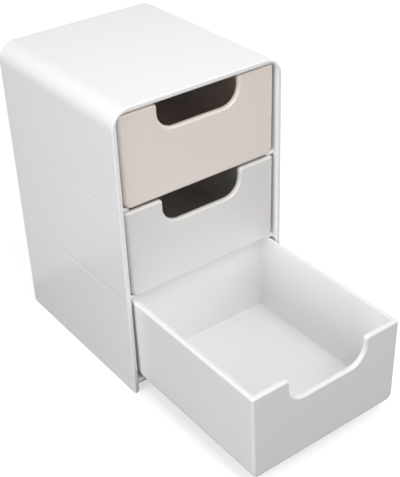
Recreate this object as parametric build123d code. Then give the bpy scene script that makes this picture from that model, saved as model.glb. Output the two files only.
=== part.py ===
"""Desktop drawer organizer: a tube-like casing with three loose moulded drawers.

Millimetres, +Z up, +Y to the back, +X to the right seen from the front. The origin is on the table,
under the centre of the whole thing as it stands here, with its bottom drawer pulled out. Each piece
is drawn with the front of the casing at y = 0, and moved into that frame at the end.
"""

import os

from build123d import *

# Casing: a tube open to the front
casing_width = 100.0
casing_depth = 109.0
casing_height = 164.0
wall = 2.7
top_radius = 10.0  # the two long top edges, outside
ceiling_radius = 5.2  # the same, inside
mouth_round = 0.8  # edges of the front end
rear_bevel = 0.3  # edges of the rear end

# Base plate, and the skirts below it on which the casing stands
base_rise = 5.5  # from the table to the underside of the plate
base_plate = 2.7
base_fillet = 1.3  # where the plate meets the walls
skirt_inner_round = 1.3  # lower edges of each skirt
skirt_outer_round = 0.5
heel_radius = 3.0  # the lower rear corner of each skirt, seen from the side

# Back panel, set into a step in the rear end of the tube
panel_thickness = 2.2
panel_step = 1.1  # how far the step is cut into the walls
panel_sink = 0.5  # how far the panel lies inside the rear edge
panel_gap = 0.15  # all round, so that it slips in

# Drawers: three of one moulding, from the lowest up
drawer_names = ["bottom_drawer", "middle_drawer", "top_drawer"]
drawer_recess = 1.6  # front of a closed drawer, behind the casing's front
drawer_side_gap = 1.4  # between the rim and the casing's wall
drawer_rim_gap = 1.6  # between a rim and the next drawer
drawer_back_gap = 0.9  # between a closed drawer and the back panel
drawer_lift = 0.3  # running clearance below a drawer
drawer_wall = 2.7
drawer_floor = 2.4
drawer_draft = 0.6  # each side is this much further in at the bottom
belly_radius = 4.0  # the long bottom edges
front_corner_radius = 1.6  # the edges round the front
back_corner_bevel = 1.0  # the same at the back, where the casing hides it
inner_back_radius = 1.5  # the same inside the box, at the back
inner_front_bevel = 0.8  # and inside it at the front
rim_round = 1.3  # outer edge of the rim
rim_bevel = 0.4  # inner edge of the rim
bottom_drawer_held = 10.8  # how much of the pulled-out bottom drawer is still in the casing

# Finger notch in a drawer's front
notch_width = 48.0
notch_depth = 14.5
notch_radius = 9.5  # its two lower corners
notch_lip = 2.0  # its two upper corners

# Runners: ribs on the side walls that carry every drawer but the lowest
runner_reach = 4.8  # how far they stand in from the wall
runner_rise = 0.8  # height of their shoulder above the drawer's underside
runner_rim_gap = 0.4  # above the rim of the drawer below
runner_setback = 3.2  # front end, behind the casing's front
runner_round = 0.4

# Heights and places worked out from these
base_top = base_rise + base_plate
ceiling = casing_height - wall
bay_half = casing_width / 2 - wall
bay_pitch = (ceiling - base_top) / len(drawer_names)
panel_back = casing_depth - panel_sink
panel_front = panel_back - panel_thickness
drawer_half = bay_half - drawer_side_gap
drawer_height = bay_pitch - drawer_rim_gap
drawer_length = panel_front - drawer_back_gap - drawer_recess
bottom_drawer_open = drawer_recess + drawer_length - bottom_drawer_held
front_plane = (bottom_drawer_open - drawer_recess - casing_depth) / 2
through = 1.0  # how far a cutting body runs past the faces that it cuts
near = 0.01  # two places closer than this are the same


def rectangle(half_width, low, high):
    """A flat rectangle in the front view, centred across, from one height to another."""
    return Pos(0, (low + high) / 2) * Rectangle(2 * half_width, high - low)


def round_corners(outline, radius, half_width, height):
    """Round the two corners of a front view that lie at this half width and height."""
    corners = [
        corner
        for corner in outline.vertices()
        if abs(abs(corner.X) - half_width) < near and abs(corner.Y - height) < near
    ]
    return fillet(corners, radius)


def to_back(outline, start, end):
    """Stand a front view up and extrude it towards the back, from start to end."""
    return Pos(0, start, 0) * extrude(Plane.XZ * outline, amount=start - end)


def edges_at(solid, y):
    """The edges of a solid that lie in the upright plane at y."""
    return solid.edges().filter_by_position(Axis.Y, y - near, y + near)


def bay_outline(grow=0.0):
    """The front view of the space for the drawers, grown outwards by a step where asked."""
    outline = rectangle(bay_half + grow, base_top - grow, ceiling + grow)
    outline = round_corners(outline, ceiling_radius + grow, bay_half + grow, ceiling + grow)
    return round_corners(outline, base_fillet + grow, bay_half + grow, base_top - grow)


def casing_outline():
    """The front view of the casing's walls, top, base plate and skirts."""
    outside = rectangle(casing_width / 2, 0, casing_height)
    outside = round_corners(outside, top_radius, casing_width / 2, casing_height)
    outline = outside - bay_outline() - rectangle(bay_half, -through, base_rise)
    outline = round_corners(outline, skirt_outer_round, casing_width / 2, 0)
    return round_corners(outline, skirt_inner_round, bay_half, 0)


def heel_cutter():
    """What a rounded lower rear corner lacks of a square one, right across the casing."""
    length = casing_width + 2 * through
    side = heel_radius + through
    middle = (heel_radius - through) / 2
    block = Pos(0, casing_depth - middle, middle) * Box(length, side, side)
    heel = Cylinder(heel_radius, length, rotation=(0, 90, 0))
    return block - Pos(0, casing_depth - heel_radius, heel_radius) * heel


def side_half(height):
    """Half the width of a drawer at a height above its underside: its sides lean outwards."""
    return drawer_half - drawer_draft * (1 - height / drawer_height)


def drawer_outline(inset, low, high):
    """The front view of a drawer, or of one inset from it, with its underside at height 0."""
    bottom = side_half(low) - inset
    top = side_half(high) - inset
    outline = Polygon((-bottom, low), (bottom, low), (top, high), (-top, high), align=None)
    return round_corners(outline, belly_radius - inset, bottom, low)


def drawer_block(inset, low, high):
    """The solid shape of a drawer, or of one inset from it, with sharp ends."""
    return to_back(drawer_outline(inset, low, high), inset, drawer_length - inset)


def end_edges(block, y):
    """The edges round one end of a drawer's block, apart from the one along the top."""
    top = block.bounding_box().max.Z
    return [edge for edge in edges_at(block, y) if edge.center().Z < top - near]


def notch_outline():
    """The front view of the finger notch, which opens out at the rim in two rounded lips."""
    bottom = drawer_height - notch_depth
    notch = rectangle(notch_width / 2, bottom, drawer_height)
    notch += rectangle(notch_width / 2 + 2 * notch_lip, drawer_height, drawer_height + through)
    notch = round_corners(notch, notch_lip, notch_width / 2, drawer_height)
    return round_corners(notch, notch_radius, notch_width / 2, bottom)


def rim_loop(drawer, inset):
    """The loop of edges round the rim and down through the notch, at an inset from the outline."""

    def on_loop(corner):
        side = side_half(corner.Z) - abs(corner.X)
        nearest = min(corner.Y, drawer_length - corner.Y, side)
        return abs(nearest - inset) < near and corner.Z > drawer_height - notch_depth - near

    return [edge for edge in drawer.edges() if all(on_loop(corner) for corner in edge.vertices())]


def make_drawer():
    """One drawer: an open box with leaning sides, rounded long edges and a finger notch."""
    outside = drawer_block(0, 0, drawer_height)
    outside = fillet(end_edges(outside, 0), front_corner_radius)
    outside = chamfer(end_edges(outside, drawer_length), back_corner_bevel)
    inside = drawer_block(drawer_wall, drawer_floor, drawer_height + through)
    inside = chamfer(end_edges(inside, drawer_wall), inner_front_bevel)
    inside = fillet(end_edges(inside, drawer_length - drawer_wall), inner_back_radius)
    drawer = outside - inside - to_back(notch_outline(), -through, drawer_wall + through)
    drawer = fillet(rim_loop(drawer, 0), rim_round)
    return chamfer(rim_loop(drawer, drawer_wall), rim_bevel)


def make_runners(underside):
    """The two ribs under one drawer: their tops follow its rounded lower edges."""
    low = underside - drawer_rim_gap + runner_rim_gap
    high = underside + runner_rise
    tip = bay_half - runner_reach
    outline = rectangle(bay_half + wall / 2, low, high) - rectangle(tip, low, high)
    outline -= Pos(0, underside) * drawer_outline(-drawer_lift, -drawer_lift, drawer_height)
    outline = round_corners(outline, runner_round, tip, low)
    return to_back(outline, runner_setback, panel_front)


def drawer_underside(level):
    """The height of a drawer's underside above the table; level 0 is the lowest."""
    return base_top + level * bay_pitch + drawer_lift


def make_casing():
    """The casing with its base plate, skirts, runners and the step for the back panel."""
    casing = to_back(casing_outline(), 0, casing_depth)
    casing -= to_back(bay_outline(panel_step), panel_front, casing_depth + through)
    casing = fillet(edges_at(casing, 0), mouth_round)
    casing = chamfer(edges_at(casing, casing_depth), rear_bevel)
    casing -= heel_cutter()
    for level in range(1, len(drawer_names)):
        casing += make_runners(drawer_underside(level))
    return casing


def make_back_panel():
    """The flat panel that closes the rear end and rests against the step."""
    return to_back(bay_outline(panel_step - panel_gap), panel_front, panel_back)


pieces = {"casing": make_casing(), "back_panel": make_back_panel()}
drawer = make_drawer()
for level, name in enumerate(drawer_names):
    pulled_out = bottom_drawer_open if level == 0 else 0
    pieces[name] = Pos(0, drawer_recess - pulled_out, drawer_underside(level)) * drawer

os.makedirs("parts", exist_ok=True)
for name, piece in pieces.items():
    export_step(Pos(0, front_plane, 0) * piece, f"parts/{name}.step")
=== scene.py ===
"""Desktop drawer organizer: the finish of its white mouldings, a pale studio and the camera.

Lengths are written in millimetres in the frame of the model, and MM turns them to metres.
"""

import math

import bpy
from mathutils import Matrix, Vector


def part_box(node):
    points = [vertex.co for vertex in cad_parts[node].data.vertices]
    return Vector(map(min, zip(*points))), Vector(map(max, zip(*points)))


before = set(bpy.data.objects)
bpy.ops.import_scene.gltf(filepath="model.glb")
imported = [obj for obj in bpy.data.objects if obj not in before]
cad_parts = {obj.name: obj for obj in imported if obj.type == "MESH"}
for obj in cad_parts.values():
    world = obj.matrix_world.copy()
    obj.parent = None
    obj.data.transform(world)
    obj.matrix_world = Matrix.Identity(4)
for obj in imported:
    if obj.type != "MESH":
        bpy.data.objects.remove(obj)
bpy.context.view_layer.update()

MM = 0.001

# Camera: where it stands, and how it is turned, in degrees
CAMERA_PLACE = (-253.3, -356.7, 354.6)
CAMERA_YAW = 35.57  # from straight at the fronts of the drawers, towards the right
CAMERA_PITCH = 32.73  # downwards
CAMERA_ROLL = -2.3
FOCAL_LENGTH = 75.4  # on a sensor whose long side is 36 mm
SENSOR = 36.0

# The plastic of all the mouldings
PLASTIC_IOR = 1.59  # polystyrene
CASING_WHITE = "F3F3F3"
# Each drawer's white. The bottom one is about the casing's white. The top one's warm tint is painted warm
# light, and the middle one's grey is painted shade, on drawers of one white plastic
DRAWER_WHITES_WITH_PAINTED_LIGHT = {"top_drawer": "EFE4DD", "middle_drawer": "E5E3E1", "bottom_drawer": "F2F2F2"}
ROUGHNESS = (0.28, 0.33)  # the polish of the tool is a little uneven
POLISH_PATCH = 14.0  # across one patch of even polish
FLOW_CLOUD = 45.0  # across one cloud of slightly other colour, left by the flow of the melt
CLOUD_SHADE = 0.985  # the darker clouds' share of the white
NOISE_SPAN = (0.3, 0.7)  # nearly all values of a noise lie between these
ORANGE_PEEL = 5.0  # across one wave of the skin; really 1 to 2, too fine to show
ORANGE_PEEL_DEPTH = 0.004

# Sink marks on the casing's sides, where the ribs and the base plate meet the wall inside
SINK_HALF_WIDTH = 2.2
SINK_DEPTH = 0.105
SINK_BELOW_DRAWER = 0.2  # middle of a runner, below the underside of the drawer on it
PLATE_BELOW_DRAWER = 1.65  # middle of the base plate, below the underside of the lowest drawer
SKIN = 0.2  # a point less than this from the casing's full width is on its outer sides

# Room and floor: the camera sees white, and the object is lit by a dimmer room and a darker table
ROOM_LIGHT = 0.43  # as a share of white
FLOOR_HALF = 3000.0
FLOOR_BOUNCE = "5A5A5A"  # the table, as the object is lit by it and mirrors it
BOARD_LINE = 118.0  # from here on back, the glossy walls mirror a white board behind the casing
BOARD_BLUR = 6.0  # to each side of that line
BOARD_SHARE = 0.45  # how much of the white floor there is mirrored
FLOOR_LIT = "CBCBCB"  # the white floor: the part of its colour that a shadow takes away
FLOOR_GLOW = 0.61  # and its own light, as a share of white, which a shadow leaves
FLOOR_FAR = (350.0, 1000.0)  # between these distances from the middle, its glow rises to full white


def linear(code):
    """An sRGB hex colour as a linear one."""
    shares = [int(code[place : place + 2], 16) / 255 for place in (0, 2, 4)]
    curve = [share / 12.92 if share <= 0.04045 else ((share + 0.055) / 1.055) ** 2.4 for share in shares]
    return (*curve, 1.0)


def add(tree, kind, settings=None, **sockets):
    """Add a node to a tree. A socket takes a value, or another node's output as a link.

    A socket is named with _ for a space, or numbered: n0 is the node's first one.
    """
    node = tree.nodes.new(kind)
    for name, value in (settings or {}).items():
        setattr(node, name, value)
    for name, value in sockets.items():
        key = int(name[1:]) if name[0] == "n" and name[1:].isdigit() else name.replace("_", " ")
        socket = node.inputs[key]
        if isinstance(value, bpy.types.NodeSocket):
            tree.links.new(value, socket)
        else:
            socket.default_value = value
    return node


def new_material(name):
    """An empty material with nodes, and its tree."""
    material = bpy.data.materials.new(name)
    material.use_nodes = True
    material.node_tree.nodes.clear()
    return material, material.node_tree


def seen_by(tree, path, rays):
    """1 for a ray of any of these kinds, and 0 for every other ray."""
    seen = path[rays[0]]
    for ray in rays[1:]:
        seen = add(tree, "ShaderNodeMath", {"operation": "MAXIMUM"}, n0=seen, n1=path[ray]).outputs[0]
    return seen


def sink_marks(tree, place, heights):
    """Shallow level valleys in the outer sides at these heights: 1 in a valley's middle, 0 off it."""
    parts = add(tree, "ShaderNodeSeparateXYZ", Vector=place)
    half_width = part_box("casing")[1].x
    aside = add(tree, "ShaderNodeMath", {"operation": "ABSOLUTE"}, n0=parts.outputs["X"]).outputs[0]
    outer = add(tree, "ShaderNodeMath", {"operation": "GREATER_THAN"}, n0=aside,
                n1=half_width - SKIN * MM).outputs[0]
    total = None
    for height in heights:
        above = add(tree, "ShaderNodeMath", {"operation": "SUBTRACT"}, n0=parts.outputs["Z"], n1=height)
        off = add(tree, "ShaderNodeMath", {"operation": "ABSOLUTE"}, n0=above.outputs[0])
        valley = add(tree, "ShaderNodeMapRange", {"interpolation_type": "SMOOTHSTEP"},
                     Value=off.outputs[0], From_Min=0.0, From_Max=SINK_HALF_WIDTH * MM,
                     To_Min=1.0, To_Max=0.0).outputs[0]
        total = valley if total is None else add(tree, "ShaderNodeMath", n0=total, n1=valley).outputs[0]
    return add(tree, "ShaderNodeMath", {"operation": "MULTIPLY"}, n0=total, n1=outer).outputs[0]


def moulded_polystyrene(name, colour, sink_heights=()):
    """High-impact polystyrene, injection moulded in a polished steel tool.

    To the eye: an even, opaque white with a soft gloss. The sheen changes a little from patch to
    patch, the skin is very slightly wavy, and thick ribs behind a wall draw it in to a faint valley.
    """
    material, tree = new_material(name)
    place = add(tree, "ShaderNodeTexCoord").outputs["Object"]
    clouds = add(tree, "ShaderNodeTexNoise", Vector=place, Scale=1 / (FLOW_CLOUD * MM), Detail=2.0)
    white = linear(colour)
    shaded = (*(CLOUD_SHADE * part for part in white[:3]), 1.0)
    tint = add(tree, "ShaderNodeMix", {"data_type": "RGBA"}, n0=clouds.outputs["Fac"], n6=shaded, n7=white)
    patches = add(tree, "ShaderNodeTexNoise", Vector=place, Scale=1 / (POLISH_PATCH * MM), Detail=3.0)
    polish = add(tree, "ShaderNodeMapRange", Value=patches.outputs["Fac"], From_Min=NOISE_SPAN[0],
                 From_Max=NOISE_SPAN[1], To_Min=ROUGHNESS[0], To_Max=ROUGHNESS[1])
    waves = add(tree, "ShaderNodeTexNoise", Vector=place, Scale=1 / (ORANGE_PEEL * MM), Detail=1.0)
    skin = add(tree, "ShaderNodeBump", Height=waves.outputs["Fac"], Distance=ORANGE_PEEL_DEPTH * MM)
    if sink_heights:
        marks = sink_marks(tree, place, sink_heights)
        skin = add(tree, "ShaderNodeBump", {"invert": True}, Height=marks, Distance=SINK_DEPTH * MM,
                   Normal=skin.outputs["Normal"])
    shader = add(tree, "ShaderNodeBsdfPrincipled", Base_Color=tint.outputs[2],
                 Roughness=polish.outputs[0], IOR=PLASTIC_IOR, Normal=skin.outputs["Normal"])
    add(tree, "ShaderNodeOutputMaterial", Surface=shader.outputs["BSDF"])
    return material


def finish_mouldings():
    """Give every moulding its plastic."""
    runner_heights = [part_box(name)[0].z - SINK_BELOW_DRAWER * MM for name in ("middle_drawer", "top_drawer")]
    plate_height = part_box("bottom_drawer")[0].z - PLATE_BELOW_DRAWER * MM
    casing_plastic = moulded_polystyrene(
        "white_polystyrene_moulded_casing", CASING_WHITE, [plate_height, *runner_heights])
    panel_plastic = moulded_polystyrene("white_polystyrene_moulded_panel", CASING_WHITE)
    plastics = {"casing": casing_plastic, "back_panel": panel_plastic}
    # each drawer gets its own copy of the plastic, with painted warm light on the top one and painted shade on
    # the middle one
    for name, colour in DRAWER_WHITES_WITH_PAINTED_LIGHT.items():
        plastics[name] = moulded_polystyrene(f"white_polystyrene_moulded_{name}", colour)
    for name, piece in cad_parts.items():
        for slot in piece.material_slots:
            slot.material = plastics[name]


def floor():
    """A wide pale floor, which shows white and still keeps the object's shadow.

    Mirrored rays see its white too, but only behind the board's line: in front of it they see the
    darker table, as the glossy walls do in the photograph.
    """
    half = FLOOR_HALF * MM
    mesh = bpy.data.meshes.new("floor")
    corners = [(-half, -half, 0), (half, -half, 0), (half, half, 0), (-half, half, 0)]
    mesh.from_pydata(corners, [], [(0, 1, 2, 3)])
    piece = bpy.data.objects.new("floor", mesh)
    bpy.context.scene.collection.objects.link(piece)
    material, tree = new_material("white_studio_floor")
    path = add(tree, "ShaderNodeLightPath").outputs
    straight = seen_by(tree, path, ["Is Camera Ray", "Is Transmission Ray"])
    place = add(tree, "ShaderNodeTexCoord").outputs["Object"]
    depth = add(tree, "ShaderNodeSeparateXYZ", Vector=place).outputs["Y"]
    board = add(tree, "ShaderNodeMapRange", {"interpolation_type": "SMOOTHSTEP"}, Value=depth,
                From_Min=(BOARD_LINE - BOARD_BLUR) * MM, From_Max=(BOARD_LINE + BOARD_BLUR) * MM,
                To_Max=BOARD_SHARE).outputs[0]
    mirrored = add(tree, "ShaderNodeMath", {"operation": "MULTIPLY"}, n0=path["Is Glossy Ray"], n1=board)
    seen = add(tree, "ShaderNodeMath", {"operation": "MAXIMUM"}, n0=straight, n1=mirrored.outputs[0])
    bounce = add(tree, "ShaderNodeBsdfDiffuse", Color=linear(FLOOR_BOUNCE))
    lit = add(tree, "ShaderNodeBsdfDiffuse", Color=linear(FLOOR_LIT))
    distance = add(tree, "ShaderNodeVectorMath", {"operation": "LENGTH"}, n0=place).outputs["Value"]
    own_light = add(tree, "ShaderNodeMapRange", Value=distance, From_Min=FLOOR_FAR[0] * MM,
                    From_Max=FLOOR_FAR[1] * MM, To_Min=FLOOR_GLOW, To_Max=1.0)
    glow = add(tree, "ShaderNodeEmission", Strength=own_light.outputs[0])
    white = add(tree, "ShaderNodeAddShader", n0=lit.outputs[0], n1=glow.outputs[0])
    mix = add(tree, "ShaderNodeMixShader", n0=seen.outputs[0], n1=bounce.outputs[0], n2=white.outputs[0])
    add(tree, "ShaderNodeOutputMaterial", Surface=mix.outputs[0])
    mesh.materials.append(material)


def room():
    """A soft even room light; the camera and mirrored rays see white."""
    studio = bpy.data.worlds.new("studio")
    bpy.context.scene.world = studio
    studio.use_nodes = True
    tree = studio.node_tree
    tree.nodes.clear()
    path = add(tree, "ShaderNodeLightPath").outputs
    seen = seen_by(tree, path, ["Is Camera Ray", "Is Glossy Ray", "Is Transmission Ray"])
    strength = add(tree, "ShaderNodeMix", {"data_type": "FLOAT"}, n0=seen, n2=ROOM_LIGHT, n3=1.0)
    back = add(tree, "ShaderNodeBackground", Color=linear("FFFFFF"), Strength=strength.outputs[0])
    add(tree, "ShaderNodeOutputWorld", Surface=back.outputs[0])


def lamp(name, place, target, side, power):
    """A square soft box at a place, turned to a target; its power in watts."""
    light = bpy.data.lights.new(name, "AREA")
    light.shape = "SQUARE"
    light.size = side * MM
    light.energy = power
    piece = bpy.data.objects.new(name, light)
    piece.location = Vector(place) * MM
    piece.rotation_euler = (Vector(target) - Vector(place)).to_track_quat("-Z", "Y").to_euler()
    bpy.context.scene.collection.objects.link(piece)


def camera():
    """A camera that sees the object as the photograph does."""
    lens = bpy.data.cameras.new("camera")
    lens.sensor_width = SENSOR
    lens.lens = FOCAL_LENGTH
    piece = bpy.data.objects.new("camera", lens)
    bpy.context.scene.collection.objects.link(piece)
    piece.matrix_world = (
        Matrix.Translation(Vector(CAMERA_PLACE) * MM)
        @ Matrix.Rotation(math.radians(-CAMERA_YAW), 4, "Z")
        @ Matrix.Rotation(math.radians(90 - CAMERA_PITCH), 4, "X")
        @ Matrix.Rotation(math.radians(CAMERA_ROLL), 4, "Z")
    )
    bpy.context.scene.camera = piece


finish_mouldings()
floor()
room()
lamp("overhead_box", place=(0, 0, 1000), target=(0, 0, 100), side=700, power=0.3)
lamp("near_top_box", place=(-25, -60, 420), target=(-10, -30, 160), side=200, power=0.23)
lamp("upper_front_box", place=(0, -750, 1200), target=(0, 0, 100), side=500, power=4.6)
lamp("left_box", place=(-700, -150, 120), target=(-50, -40, 60), side=400, power=3.2)
lamp("right_front_box", place=(250, -850, 300), target=(0, -60, 80), side=400, power=1.73)
lamp("right_box", place=(900, 0, 120), target=(0, 0, 60), side=300, power=2.4)
lamp("back_box", place=(0, 1000, 120), target=(0, 50, 60), side=300, power=2.4)
camera()
bpy.context.scene.view_settings.view_transform = "Standard"
